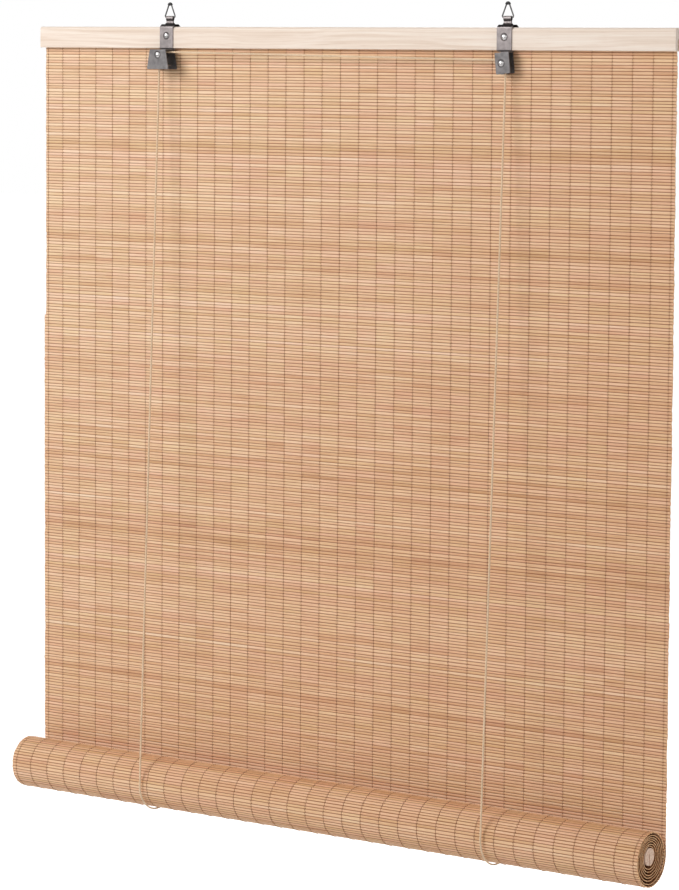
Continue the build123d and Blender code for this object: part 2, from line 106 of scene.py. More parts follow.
class Nodes:
    """Shorthands for the nodes of one material or world."""

    def __init__(self, tree):
        self.tree = tree

    def feed(self, socket, value):
        """Give an input another node's output, or a plain value."""
        if isinstance(value, bpy.types.NodeSocket):
            self.tree.links.new(value, socket)
        else:
            socket.default_value = value

    def node(self, kind, inputs=None, **settings):
        """New node with these settings, and with its inputs fed by number or name."""
        made = self.tree.nodes.new(kind)
        for key, value in settings.items():
            setattr(made, key, value)
        for key, value in (inputs or {}).items():
            self.feed(made.inputs[key], value)
        return made

    def math(self, operation, first, second=0.0, third=0.0):
        return self.node("ShaderNodeMath", {0: first, 1: second, 2: third}, operation=operation).outputs[0]

    def attribute(self, name):
        """Vector stored at the points of the mesh."""
        return self.node("ShaderNodeAttribute", attribute_name=name).outputs["Vector"]

    def parts(self, vector):
        """X, Y and Z of a vector."""
        return self.node("ShaderNodeSeparateXYZ", {0: vector}).outputs

    def scaled(self, vector, x, y, z):
        """Vector times x, y and z, which are how often a noise repeats in a metre each way."""
        return self.node("ShaderNodeVectorMath", {0: vector, 1: (x, y, z)}, operation="MULTIPLY").outputs[0]

    def position(self):
        """Place in the piece's own frame, which moves with it."""
        return self.node("ShaderNodeTexCoord").outputs["Object"]

    def noise(self, vector, detail=3.0, roughness=0.5):
        inputs = {"Vector": vector, "Scale": 1.0, "Detail": detail, "Roughness": roughness}
        return self.node("ShaderNodeTexNoise", inputs).outputs["Fac"]

    def ramp(self, factor, *stops):
        """Colour ramp: each stop is a place from 0 to 1 and a colour."""
        made = self.node("ShaderNodeValToRGB", {"Fac": factor})
        elements = made.color_ramp.elements
        while len(elements) < len(stops):
            elements.new(0.5)
        for element, (place, colour) in zip(elements, stops):
            element.position = place
            element.color = colour
        return made.outputs["Color"]

    def mix(self, factor, first, second, blend="MIX"):
        """First colour at factor 0, and second blended with it at 1."""
        inputs = {0: factor, 6: first, 7: second}
        return self.node("ShaderNodeMix", inputs, data_type="RGBA", blend_type=blend).outputs[2]

    def range(self, value, low, high, to_low=0.0, to_high=1.0):
        """Value moved from one range to another, and kept within it."""
        inputs = {0: value, 1: low, 2: high, 3: to_low, 4: to_high}
        return self.node("ShaderNodeMapRange", inputs).outputs[0]


class Paint(Nodes):
    """One procedural material."""

    def __init__(self, name):
        self.material = bpy.data.materials.new(name)
        self.material.use_nodes = True
        super().__init__(self.material.node_tree)
        self.shader = self.tree.nodes["Principled BSDF"]

    def finish(self, colour, roughness, metallic=0.0, specular=0.5, bump=None, bump_depth=0.1 * MM):
        """Link up the shader; bump is a height from 0 to 1 that stands bump_depth proud."""
        self.feed(self.shader.inputs["Base Color"], colour)
        self.feed(self.shader.inputs["Roughness"], roughness)
        self.feed(self.shader.inputs["Metallic"], metallic)
        self.feed(self.shader.inputs["Specular IOR Level"], specular)
        if bump is not None:
            inputs = {"Height": bump, "Distance": bump_depth, "Strength": 1.0}
            self.feed(self.shader.inputs["Normal"], self.node("ShaderNodeBump", inputs).outputs["Normal"])
        return self.material


def bamboo():
    """Split bamboo: slats of uneven tone, which changes again at each warp line, with painted shade along
    their edges.
    """
    paint = Paint("bamboo")
    fibre = paint.attribute("fibre")
    along, _, index = paint.parts(fibre)[:3]
    tone, hue, edge = paint.parts(paint.attribute("slat"))[:3]

    # Patterns along and round a slat, set apart from slat to slat by the third factor
    streaks = paint.noise(paint.scaled(fibre, 14, 900, 31.37), detail=4.0, roughness=0.6)
    fibres = paint.noise(paint.scaled(fibre, 45, 5200, 57.31), detail=2.0)
    drift = paint.noise(paint.scaled(fibre, 9, 0, 13.17), detail=2.0)

    # One cell for each slat between two warp lines
    cell = paint.math("FLOOR", paint.math("DIVIDE", along, WARP_PITCH))
    cell_place = paint.node("ShaderNodeCombineXYZ", {0: cell, 1: index}).outputs[0]
    cell_tone = paint.node("ShaderNodeTexWhiteNoise", {0: cell_place}).outputs["Value"]
    patch_tone = paint.noise(paint.scaled(cell_place, 17.31, 0.24, 0), detail=1.0)
    patch_hue = paint.noise(paint.scaled(cell_place, 11.73, 0.17, 0), detail=1.0)

    level = tone
    for variation, share in ((streaks, 0.6), (drift, 0.45), (cell_tone, 0.1), (patch_tone, 0.32)):
        level = paint.math("MULTIPLY_ADD", paint.math("SUBTRACT", variation, 0.5), share, level)
    yellow = paint.ramp(
        level, (0.0, srgb(198, 154, 108)), (0.35, srgb(228, 191, 146)),
        (0.65, srgb(247, 218, 179)), (1.0, srgb(254, 237, 209)),
    )
    pink = paint.ramp(
        level, (0.0, srgb(198, 146, 110)), (0.35, srgb(230, 184, 150)),
        (0.65, srgb(249, 213, 184)), (1.0, srgb(255, 233, 212)),
    )
    blush = paint.math("MULTIPLY_ADD", paint.math("SUBTRACT", patch_hue, 0.5), 1.8, hue)
    wood = paint.mix(paint.range(blush, 0.0, 1.0), yellow, pink)

    # Painted shade: the wood a little darker and redder towards the right and the bottom, where less light
    # falls
    rightwards = paint.range(along, -MAT_WIDTH / 2, MAT_WIDTH / 2)
    painted_falloff = paint.math("ADD", rightwards, paint.range(index, 0, HANGING_SLATS))
    wood = paint.mix(paint.range(painted_falloff, 0.0, 1.3), wood, srgb(247, 233, 221), "MULTIPLY")
    wood = paint.mix(paint.range(fibres, 0.55, 0.8, 0.0, 0.3), wood, srgb(184, 130, 84), "MULTIPLY")
    # Painted shade along the slats' edges, in the gaps between them, stronger towards the right and the
    # bottom
    gap_shade = paint.math("MULTIPLY", paint.range(edge, 0.55, 0.98), paint.range(painted_falloff, 0.0, 1.6, 0.76, 0.98))
    wood = paint.mix(gap_shade, wood, srgb(136, 72, 26))
    roughness = paint.range(streaks, 0.2, 0.8, 0.42, 0.6)
    return paint.finish(wood, roughness, specular=0.35, bump=fibres, bump_depth=0.04 * MM)


def bamboo_end():
    """Cut ends of the slats: pale, with the dark dots of the fibre bundles."""
    paint = Paint("bamboo_end")
    position = paint.position()
    bundles = paint.noise(paint.scaled(position, 2600, 2600, 2600), detail=2.0)
    stain = paint.noise(paint.scaled(position, 240, 240, 240), detail=2.0)
    pale = paint.mix(paint.range(stain, 0.35, 0.65), srgb(252, 190, 136), srgb(255, 212, 164))
    wood = paint.mix(paint.range(bundles, 0.5, 0.75, 0.0, 0.6), pale, srgb(146, 84, 44))
    return paint.finish(wood, 0.8, specular=0.2, bump=bundles, bump_depth=0.06 * MM)


def warp_yarn():
    """Cotton yarn, pale over the slats, with painted shade where it dips between them and a little dirt on
    the crests.
    """
    paint = Paint("warp_yarn")
    dip_shade_and_crest_dirt = paint.parts(paint.attribute("slat"))[0]
    fluff = paint.noise(paint.scaled(paint.position(), 2600, 2600, 2600), detail=2.0)
    crest = paint.ramp(fluff, (0.25, srgb(216, 170, 132)), (0.75, srgb(240, 200, 162)))
    # Painted shade in full at the dips, and crest_dirt's share of it on the crests
    colour = paint.mix(paint.range(dip_shade_and_crest_dirt, 0.1, 0.5, 0.0, 0.95), crest, srgb(102, 40, 12))
    return paint.finish(colour, 0.85, specular=0.2, bump=fluff, bump_depth=0.05 * MM)


def cord():
    """Natural cotton cord with loose hairs."""
    paint = Paint("cord")
    fibre = paint.attribute("fibre")
    hairs = paint.noise(paint.scaled(fibre, 260, 5200, 1), detail=3.0, roughness=0.6)
    soft = paint.noise(paint.scaled(fibre, 30, 0, 1), detail=2.0)
    level = paint.math("MULTIPLY_ADD", soft, 0.5, paint.math("MULTIPLY", hairs, 0.5))
    colour = paint.ramp(
        level, (0.25, srgb(208, 176, 138)), (0.5, srgb(238, 212, 180)), (0.75, srgb(252, 236, 214))
    )
    return paint.finish(colour, 0.8, specular=0.2, bump=hairs, bump_depth=0.06 * MM)


def rail_wood():
    """Pale planed softwood with its grain along the rail."""
    paint = Paint("rail_wood")
    position = paint.position()
    warp = paint.noise(paint.scaled(position, 3, 18, 18), detail=2.0)
    bent = paint.node("ShaderNodeVectorMath", {0: position, 1: paint.scaled(warp, 0, 0.02, 0.02)})
    grain = paint.noise(paint.scaled(bent.outputs[0], 2.2, 260, 260), detail=4.0, roughness=0.55)
    pores = paint.noise(paint.scaled(position, 35, 1700, 1700), detail=2.0)
    colour = paint.ramp(
        grain, (0.3, srgb(229, 207, 187)), (0.5, srgb(242, 224, 208)), (0.7, srgb(249, 236, 223))
    )
    colour = paint.mix(paint.range(pores, 0.6, 0.8, 0.0, 0.4), colour, srgb(214, 188, 162), "MULTIPLY")
    return paint.finish(colour, 0.55, specular=0.35, bump=pores, bump_depth=0.03 * MM)


def dowel_wood():
    """Grey-pink hardwood, sawn across at the ends."""
    paint = Paint("dowel_wood")
    position = paint.position()
    rings = paint.noise(paint.scaled(position, 8, 420, 420), detail=4.0)
    fleck = paint.noise(paint.scaled(position, 60, 1800, 1800), detail=2.0)
    colour = paint.ramp(rings, (0.3, srgb(226, 186, 162)), (0.7, srgb(253, 226, 203)))
    colour = paint.mix(paint.range(fleck, 0.55, 0.8, 0.0, 0.5), colour, srgb(160, 134, 118), "MULTIPLY")
    return paint.finish(colour, 0.75, specular=0.3, bump=fleck, bump_depth=0.05 * MM)


# Painted shade round rivet heads and in the folds of the sheet
PAINTED_SHADE_COLOUR = srgb(40, 34, 34)
RIVET_SHADE_REACH = (4.1 * MM, 5.2 * MM)  # full within the first distance and gone at the second
FOLD_SHADE_EDGE = 0.5 * MM          # over which it fades, inside the fold's limits


def steel(name, dark, light, roughness, metallic=1.0, rivets=(), folds=()):
    """Plated steel, with painted shade round its rivets at (x, z) and along folds from z to z."""
    paint = Paint(name)
    position = paint.position()
    mottle = paint.noise(paint.scaled(position, 160, 160, 160), detail=3.0)
    scuffs = paint.noise(paint.scaled(position, 700, 700, 4200), detail=3.0, roughness=0.7)
    colour = paint.ramp(mottle, (0.3, dark), (0.7, light))
    flat = paint.scaled(position, 1, 0, 1)
    # Painted shade round each rivet's head
    for x, z in rivets:
        reach = paint.node("ShaderNodeVectorMath", {0: flat, 1: (x, 0, z)}, operation="DISTANCE")
        painted_shade = paint.range(reach.outputs["Value"], *RIVET_SHADE_REACH, 0.85, 0.0)
        colour = paint.mix(painted_shade, colour, PAINTED_SHADE_COLOUR)
    # Painted shade along each fold
    for low, high in folds:
        height = paint.math("SUBTRACT", paint.parts(position)[2], (low + high) / 2)
        half = (high - low) / 2
        painted_shade = paint.range(paint.math("ABSOLUTE", height), half, half - FOLD_SHADE_EDGE, 0.0, 0.9)
        colour = paint.mix(painted_shade, colour, PAINTED_SHADE_COLOUR)
    rough = paint.range(scuffs, 0.3, 0.75, roughness - 0.08, roughness + 0.14)
    return paint.finish(colour, rough, metallic=metallic, bump=scuffs, bump_depth=0.012 * MM)


def black_sleeve():
    """Black rubber with a little dust."""
    paint = Paint("black_sleeve")
    dust = paint.noise(paint.scaled(paint.position(), 900, 900, 900), detail=3.0)
    colour = paint.ramp(dust, (0.4, srgb(24, 24, 25)), (0.8, srgb(58, 57, 57)))
    return paint.finish(colour, 0.55, bump=dust, bump_depth=0.03 * MM)


MATERIALS = {
    "bamboo": bamboo(),
    "bamboo_end": bamboo_end(),
    "warp_yarn": warp_yarn(),
    "cord": cord(),
    "rail_wood": rail_wood(),
    "dowel_wood": dowel_wood(),
    "strap_steel": steel(
        "strap_steel", srgb(121, 114, 113), srgb(146, 138, 137), 0.42, 0.85,
        rivets=[(x, STRAP_RIVET_Z) for x in STRAP_X], folds=STRAP_FOLDS,
    ),
    "dark_steel": steel(
        "dark_steel", srgb(96, 93, 93), srgb(126, 122, 122), 0.4, 0.7,
        rivets=[(LOCK_X, LOCK_AXLE_Z), (PULLEY_X, PULLEY_AXLE_Z)],
    ),
    "rivet_steel": steel("rivet_steel", srgb(196, 193, 192), srgb(232, 229, 228), 0.24),
    "wire_steel": steel("wire_steel", srgb(82, 80, 80), srgb(124, 121, 121), 0.3),
    "wheel_metal": steel("wheel_metal", srgb(98, 92, 90), srgb(134, 126, 122), 0.42),
    "black_sleeve": black_sleeve(),
}


def tube_faces(count, stations, points):
    """Faces of several tubes, whose points are ordered by tube, station and place round it; caps last."""
    index = np.arange(count * stations * points).reshape(count, stations, points)
    here, there = index[:, :-1], index[:, 1:]
    sides = np.stack([here, np.roll(here, -1, 2), np.roll(there, -1, 2), there], -1)
    return sides.reshape(-1, 4).tolist() + index[:, 0].tolist() + index[:, -1].tolist()


def add_tubes(name, rings, material, body, attributes, sharp=50, end_material=None):
    """New piece made of capped tubes, one ring of points after the other, on a CAD body.

    Edges bent by more than sharp, in degrees, stay hard. The caps may have a material of their own.
    """
    mesh = bpy.data.meshes.new(name)
    mesh.from_pydata(rings.reshape(-1, 3), [], tube_faces(*rings.shape[:3]))
    for key, values in attributes.items():
        stored = mesh.attributes.new(key, "FLOAT_VECTOR", "POINT")
        stored.data.foreach_set("vector", values.reshape(-1).astype(np.float32))
    work = bmesh.new()
    work.from_mesh(mesh)
    bmesh.ops.recalc_face_normals(work, faces=work.faces)
    work.to_mesh(mesh)
    work.free()
    mesh.shade_smooth()
    mesh.set_sharp_from_angle(angle=radians(sharp))
    mesh.materials.append(MATERIALS[material])
    if end_material:
        mesh.materials.append(MATERIALS[end_material])
        for cap in mesh.polygons[-2 * len(rings):]:
            cap.material_index = 1
    piece = bpy.data.objects.new(name, mesh)
    bpy.context.scene.collection.objects.link(piece)
    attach(piece, body)
    return piece


# Slats: a ring of (outwards in metres, share of the half height) is swept along each
SLAT_RING = np.array([
    (0.80, -0.28), (0.80, 0.28), (0.60, 0.68), (0.20, 1.03), (-0.20, 1.03), (-0.60, 0.68),
    (-0.80, 0.28), (-0.80, -0.28), (-0.60, -0.68), (-0.20, -1.03), (0.20, -1.03), (0.60, -0.68),
]) * (MM, 1)
INNER_RING = np.array([
    (0.80, -0.88), (0.80, 0.88), (0.35, 1.0), (-0.35, 1.0),
    (-0.80, 0.88), (-0.80, -0.88), (-0.35, -1.0), (0.35, -1.0),
]) * (MM, 1)
STATIONS = 19                     # along each slat that shows its face
THICKNESS = (0.84, 1.0)           # least and most share of the ring's
INNER_THICKNESS = (0.5, 0.6)
TONGUE_THICKNESS = (0.8, 0.85)

# Unevenness: spread from slat to slat, spread along a slat, and the most of both together
JOINT_UNEVEN = (0.14, 0.045, 0.4)  # of the joints between slats, in shares of JOINT_REACH
JOINT_REACH = 0.55                 # in pitches
FACE_UNEVEN = (0.09, 0.04, 0.2)    # of the slats' middles, outwards in millimetres
HUE_UNEVEN = 0.18
TONE_UNEVEN = 0.075
TONE_DRIFT = 0.06
TONE_RUN = 6                       # slats over which the tone drifts
TRIM_RUN = 9                       # slats over which the trim drifts


def smooth_noise(count, length):
    """Random numbers of about -1 to 1 that change slowly over some steps."""
    knots = rng.uniform(-1, 1, int(count / length) + 3)
    return np.interp(np.arange(count) / length, np.arange(len(knots)), knots)


def uneven(count, stations, spreads):
    """Small random offsets in rows, one for each station."""
    each, along, most = spreads
    offsets = rng.normal(0, each, (count, 1)) + rng.normal(0, along, (count, stations))
    return np.clip(offsets, -most, most)


def end_trims(count, loose, drift):
    """How much each slat is short of the mat's full width, at its left and its right end."""
    steady = loose * rng.random((2, count))
    return steady + drift * np.abs(smooth_noise(2 * count, TRIM_RUN).reshape(2, count))


class Slats:
    """Slats side by side along a path, each a little different, and the places that yarns need.

    The joints between slats are places along the path, point() gives the YZ point of a place,
    and joint_step is the length of one pitch at each joint, in the unit of the places.
    """

    def __init__(self, joints, point, joint_step, stations, trims, thickness=THICKNESS, first_index=0,
                 ring=SLAT_RING):
        count = len(joints) - 1
        self.ring = ring
        self.count = count
        self.index = first_index + np.arange(count)
        self.x = np.tile(np.linspace(-1, 1, stations) * MAT_WIDTH / 2, (count, 1))
        self.x[:, 0] += trims[0]
        self.x[:, -1] -= trims[1]
        wobble = uneven(count + 1, stations, JOINT_UNEVEN)
        wobble[0] = wobble[-1] = 0
        edges = point(joints[:, None] + wobble * joint_step[:, None] * JOINT_REACH)
        self.centre = (edges[:-1] + edges[1:]) / 2
        self.along = (edges[1:] - edges[:-1]) / 2
        length = np.linalg.norm(self.along, axis=-1, keepdims=True)
        self.outward = np.stack([-self.along[..., 1], self.along[..., 0]], -1) / length
        self.thickness = rng.uniform(*thickness, (count, 1))
        self.centre += self.outward * uneven(count, stations, FACE_UNEVEN)[..., None] * MM

    def rings(self):
        """Points of all slats, ordered by slat, station and place round it."""
        out, share = self.ring[:, 0], self.ring[:, 1]
        out = out * self.thickness[..., None]
        yz = self.centre[:, :, None] + self.outward[:, :, None] * out[..., None]
        yz = yz + self.along[:, :, None] * share[:, None]
        x = np.broadcast_to(self.x[..., None, None], yz.shape[:-1] + (1,))
        return np.concatenate([x, yz], -1)

    def attributes(self, tone):
        """What the bamboo material reads: place along and round the slat, number, tone, hue and edge."""
        full = np.ones(self.x.shape + (len(self.ring),))
        corners = np.concatenate([self.ring, self.ring[:1]]) * (1, SLAT_PITCH / 2)
        around = np.cumsum(np.linalg.norm(np.diff(corners, axis=0), axis=1))
        fibre = np.stack([full * self.x[..., None], full * around, full * self.index[:, None, None]], -1)
        hue = np.clip(rng.normal(0.5, HUE_UNEVEN, self.count), 0, 1)[:, None, None]
        slat = np.stack([full * tone[:, None, None], full * hue, full * np.abs(self.ring[:, 1])], -1)
        return {"fibre": fibre, "slat": slat}

    def at(self, x):
        """Centre, half height and outward direction of every slat at one place along the rail."""
        last = self.centre.shape[1] - 1
        place = (x / (MAT_WIDTH / 2) + 1) / 2 * last
        low = min(int(place), last - 1)
        return [values[:, low] + (values[:, low + 1] - values[:, low]) * (place - low)
                for values in (self.centre, self.along, self.outward)]


def add_slats(name, slats, body, tone=0.52):
    """Piece of slats whose tones, from 0 dark to 1 pale, lie round a middle one."""
    tones = tone + rng.normal(0, TONE_UNEVEN, slats.count) + TONE_DRIFT * smooth_noise(slats.count, TONE_RUN)
    attributes = slats.attributes(np.clip(tones, 0.02, 0.98))
    return add_tubes(name, slats.rings(), "bamboo", body, attributes, end_material="bamboo_end")


# Yarns: each follows a track with a dip at a joint and the two ends of a crest for every slat
TRACK_POINTS = 3
YARN_RADIUS = 0.34 * MM
YARN_SWING = 0.6 * MM      # to each side of its line
SWING_UNEVEN = (0.6, 1.3)
YARN_SIDES = 4
YARN_SEAT = 0.7            # of its radius, from a slat's face to the yarn's middle
CREST_END = 0.42           # of the slat's half height, from its middle
CREST_SWING = 0.6          # of the swing at a dip


def warp_places():
    """Places of the warp lines along the rail."""
    places = (np.arange(WARP_LINES) - (WARP_LINES - 1) / 2) * WARP_PITCH
    places[0] = -MAT_WIDTH / 2 + WARP_EDGES[0]
    places[-1] = MAT_WIDTH / 2 - WARP_EDGES[1]
    return places


def yarn_tracks(slats, lines):
    """Tracks of two yarns on each warp line, which pass the slats in front and behind by turns."""
    tracks = []
    parity = np.where(np.arange(slats.count) % 2 == 0, 1.0, -1.0)[:, None]
    height = HALF_SLAT * slats.thickness + YARN_RADIUS * YARN_SEAT
    for x in lines:
        centre, along, outward = slats.at(x)
        swing = YARN_SWING * rng.uniform(*SWING_UNEVEN)
        for sign in (1.0, -1.0):
            side = sign * parity
            crest = centre + outward * height * side
            yz = np.stack([centre - along, crest - along * CREST_END, crest + along * CREST_END], 1)
            offset = side * swing * np.array([[1.0, CREST_SWING, -CREST_SWING]])
            track = np.concatenate([x + offset[..., None], yz], -1).reshape(-1, 3)
            last = np.concatenate([[x - side[-1, 0] * swing], centre[-1] + along[-1]])
            tracks.append(np.vstack([track, last]))
    return np.array(tracks)


def add_yarns(name, slats, lines, body, crest_dirt):
    """Yarns twined round the slats; crest_dirt is how dark they are on the crests, from 0 to 1."""
    tracks = yarn_tracks(slats, lines)
    tangent = np.gradient(tracks, axis=1)
    tangent /= np.linalg.norm(tangent, axis=-1, keepdims=True)
    sideways = np.broadcast_to([1.0, 0, 0], tangent.shape)
    upward = np.cross(tangent, sideways)
    upward /= np.linalg.norm(upward, axis=-1, keepdims=True)
    angles = 2 * pi * (np.arange(YARN_SIDES) + 0.5) / YARN_SIDES
    ring = [sideways * cos(a) + upward * sin(a) for a in angles]
    rings = tracks[:, :, None] + YARN_RADIUS * np.stack(ring, 2)
    # Painted shade in full at each dip between slats, and crest_dirt on the crests
    dip_shade_and_crest_dirt_levels = np.full(rings.shape, crest_dirt)
    dip_shade_and_crest_dirt_levels[:, ::TRACK_POINTS] = 1.0
    return add_tubes(name, rings, "warp_yarn", body, {"slat": dip_shade_and_crest_dirt_levels}, sharp=180)


# Hanging mat
EDGE_STEP_Z = -0.39
EDGE_STEP = 2.4 * MM
YARN_CUTS = (12, 24)  # warp lines at which the yarns are cut into pieces


def hanging_point(distance):
    """Point of the hanging mat, in the YZ plane, at a distance down from its top edge."""
    return np.stack([np.zeros_like(distance), MAT_TOP - distance], -1)


def hang_mat(warp_x):
    """Hanging mat, with the slats above a step in its left edge cut a little shorter."""
    joints = np.linspace(0, HANGING_LENGTH, HANGING_SLATS + 1)
    trims = end_trims(HANGING_SLATS, 0.6 * MM, 1.0 * MM)
    trims[0] += EDGE_STEP * (MAT_TOP - joints[1:] > EDGE_STEP_Z)
    hanging = Slats(joints, hanging_point, np.full(len(joints), SLAT_PITCH), STATIONS, trims)
    mat = add_slats("mat_slats", hanging, "rail_and_mat")
    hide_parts("mat_hanging")
    pieces = [mat]
    for part, lines in enumerate(np.split(warp_x, YARN_CUTS)):
        pieces.append(add_yarns(f"mat_yarns_{part + 1}", hanging, lines, "rail_and_mat", crest_dirt=0.18))
    for piece in pieces:
        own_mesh(piece)


# Rolled mat
FULL_TURNS = 1.12        # that show their faces; plainer slats serve the rest, which show their ends
TURN_SAG = 1.6 * MM      # of the inner turns, at the top of the roll
TURN_SLACK = 0.45 * MM
SLACK_WAVES = 1.7        # in a turn
TONGUE_SLATS = 3         # in the dowel's kerf
TONGUE_TRIM = 8.0 * MM   # so that they end inside the dowel's ends


def spiral_radius(turns):
    """Radius of the rolled mat's middle after a number of turns in from its outer end."""
    inner = DOWEL_RADIUS + HALF_SLAT
    return ROLL_MIDDLE_RADIUS + turns / ROLL_TURNS * (inner - ROLL_MIDDLE_RADIUS)


def spiral_point(turns):
    """Point of the rolled mat, in the YZ plane, after a number of turns in from its outer end."""
    inwards = turns / ROLL_TURNS
    radius = spiral_radius(turns)
    y = ROLL_Y + inwards * (DOWEL_Y - ROLL_Y) + radius * np.cos(-2 * pi * turns)
    z = ROLL_Z + inwards * (DOWEL_Z - ROLL_Z) + radius * np.sin(-2 * pi * turns)
    return np.stack([y, z], -1)


def sagging_spiral_point(turns):
    """The same for the inner turns, which hang away from the outer one at the top of the roll."""
    place = spiral_point(turns)
    above = np.clip(place[..., 1] - ROLL_Z, 0, None) / ROLL_MIDDLE_RADIUS
    place[..., 1] -= TURN_SAG * above * (1 - turns / ROLL_TURNS)
    slack = TURN_SLACK * np.sin(2 * pi * SLACK_WAVES * turns) * (1 - turns / ROLL_TURNS)
    place += slack[..., None] * (place - (DOWEL_Y, DOWEL_Z)) / ROLL_MIDDLE_RADIUS
    return place


def tongue_point(distance):
    """Point of the mat's lower edge in the dowel's kerf, at a distance up from its mouth."""
    return np.stack([np.full_like(distance, DOWEL_Y), DOWEL_Z - DOWEL_RADIUS - HALF_SLAT + distance], -1)


def pitch_in_turns(turns):
    """Part of a turn that one slat takes up."""
    return SLAT_PITCH / (2 * pi * spiral_radius(turns))


def roll_mat(warp_x):
    """Rolled mat with its lower edge in the dowel."""
    joints = [0.0]
    while joints[-1] < ROLL_TURNS:
        joints.append(joints[-1] + pitch_in_turns(joints[-1]))
    joints = np.array(joints[:-1])
    outer_count = int(np.searchsorted(joints, FULL_TURNS))
    outer_joints, inner_joints = joints[:outer_count + 1], joints[outer_count:]

    trims = end_trims(outer_count, 0.5 * MM, 0.5 * MM)
    outer = Slats(outer_joints, spiral_point, pitch_in_turns(outer_joints), STATIONS, trims,
                  first_index=HANGING_SLATS)
    trims = 1.0 * MM + end_trims(len(inner_joints) - 1, 0.3 * MM, 0.8 * MM)
    inner = Slats(inner_joints, sagging_spiral_point, pitch_in_turns(inner_joints), 2, trims,
                  INNER_THICKNESS, HANGING_SLATS + outer_count, INNER_RING)
    roll = add_slats("roll_slats", outer, "roll")
    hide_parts("mat_roll")
    add_slats("roll_inner_slats", inner, "roll", tone=0.45)
    add_yarns("roll_yarns", outer, warp_x, "roll", crest_dirt=0.27)

    joints = np.arange(TONGUE_SLATS + 1) * SLAT_PITCH
    trims = np.full((2, TONGUE_SLATS), TONGUE_TRIM)
    tongue = Slats(joints, tongue_point, np.full(len(joints), SLAT_PITCH), 2, trims, TONGUE_THICKNESS)
    add_slats("roll_tongue_slats", tongue, "roll", tone=0.3)


# Cords: three strands laid round a path
STRANDS = 3
STRAND_RADIUS = 0.46 * CORD_RADIUS
STRAND_SIDES = 6
LAY = 8.5 * MM
STEPS_PER_LAY = 10
ASIDE = (0.3, 0.9, 0.2)  # a direction in which no cord starts

CORD_TAIL = 9 * MM       # of the cross run, down from a wheel
BIGHT_LEAD = 15 * MM     # of the bight, up from the roll, so that the drop clears the raised roll
BIGHT_STEPS = 24
WHEEL_STEPS = 8
STRAND_Y = RAIL_BACK - 0.05 * MM - CORD_RADIUS  # of the top of the back strands

# Knot: an open trefoil curve behind the strap, and the tail that hangs from it
KNOT_Y = RAIL_BACK + 4.2 * MM
KNOT_SIZE = 0.7 * MM
KNOT_STEPS = 48
KNOT_START = 0.4         # in radians
KNOT_SHARE = 0.94        # of the closed curve
KNOT_TAIL = (Vector((0.4, 0.5, -3)) * MM, Vector((0.2, 0.2, -3.5)) * MM)


def even_path(track, step):
    """Distances along a track of points, in even steps, and the points there."""
    track = np.array(track, float)
    lengths = np.linalg.norm(np.diff(track, axis=0), axis=1)
    distance = np.concatenate([[0], np.cumsum(lengths)])
    even = np.linspace(0, distance[-1], int(distance[-1] / step) + 2)
    return even, np.stack([np.interp(even, distance, track[:, k]) for k in range(3)], -1)


def across(path):
    """Two directions across a path at each of its points, which follow its bends and don't twist."""
    tangent = np.gradient(path, axis=0)
    tangent /= np.linalg.norm(tangent, axis=1, keepdims=True)
    normal = np.zeros_like(path)
    normal[0] = np.cross(tangent[0], ASIDE)
    for k in range(1, len(path)):
        normal[k] = normal[k - 1] - tangent[k] * np.dot(normal[k - 1], tangent[k])
    normal /= np.linalg.norm(normal, axis=1, keepdims=True)
    return normal, np.cross(tangent, normal)


def rope(name, track, body):
    """Twisted cord along a track of points, with caps at both ends."""
    even, path = even_path(track, LAY / STEPS_PER_LAY)
    normal, binormal = across(path)
    count = len(path)
    angles = 2 * pi * np.arange(STRAND_SIDES) / STRAND_SIDES
    ring = normal[:, None] * np.cos(angles)[:, None] + binormal[:, None] * np.sin(angles)[:, None]
    tubes, fibres = [], []
    for strand in range(STRANDS):
        turn = 2 * pi * (even / LAY + strand / STRANDS)
        middle = path + (CORD_RADIUS - STRAND_RADIUS) * (
            normal * np.cos(turn)[:, None] + binormal * np.sin(turn)[:, None]
        )
        tubes.append(middle[:, None] + STRAND_RADIUS * ring)
        along = np.broadcast_to(even[:, None] + strand, (count, STRAND_SIDES))
        around = np.broadcast_to(angles * STRAND_RADIUS, (count, STRAND_SIDES))
        fibres.append(np.stack([along, around, np.zeros((count, STRAND_SIDES))], -1))
    return add_tubes(name, np.array(tubes), "cord", body, {"fibre": np.array(fibres)}, sharp=70)


def touching_point(x, start, side):
    """Where a line from a start touches the bight's circle at x: side is 1 in front and -1 behind."""
    away_y = ROLL_Y - start.y
    away_z = ROLL_Z - start.z
    distance = hypot(away_y, away_z)
    angle = atan2(away_z, away_y) - side * asin(BIGHT_RADIUS / distance)
    reach = sqrt(distance**2 - BIGHT_RADIUS**2)
    return Vector((x, start.y + reach * cos(angle), start.z + reach * sin(angle)))


def bight_arc(front, back):
    """Points of the bight's circle from its front end, under the roll, to its back end."""
    first = atan2(front.z - ROLL_Z, front.y - ROLL_Y)
    last = atan2(back.z - ROLL_Z, back.y - ROLL_Y)
    if first > 0:  # so that the arc goes under the roll and not over it
        first -= 2 * pi
    centre = Vector((front.x, ROLL_Y, ROLL_Z))
    angles = [first + (last - first) * k / BIGHT_STEPS for k in range(BIGHT_STEPS + 1)]
    return [centre + Vector((0, BIGHT_RADIUS * cos(angle), BIGHT_RADIUS * sin(angle))) for angle in angles]


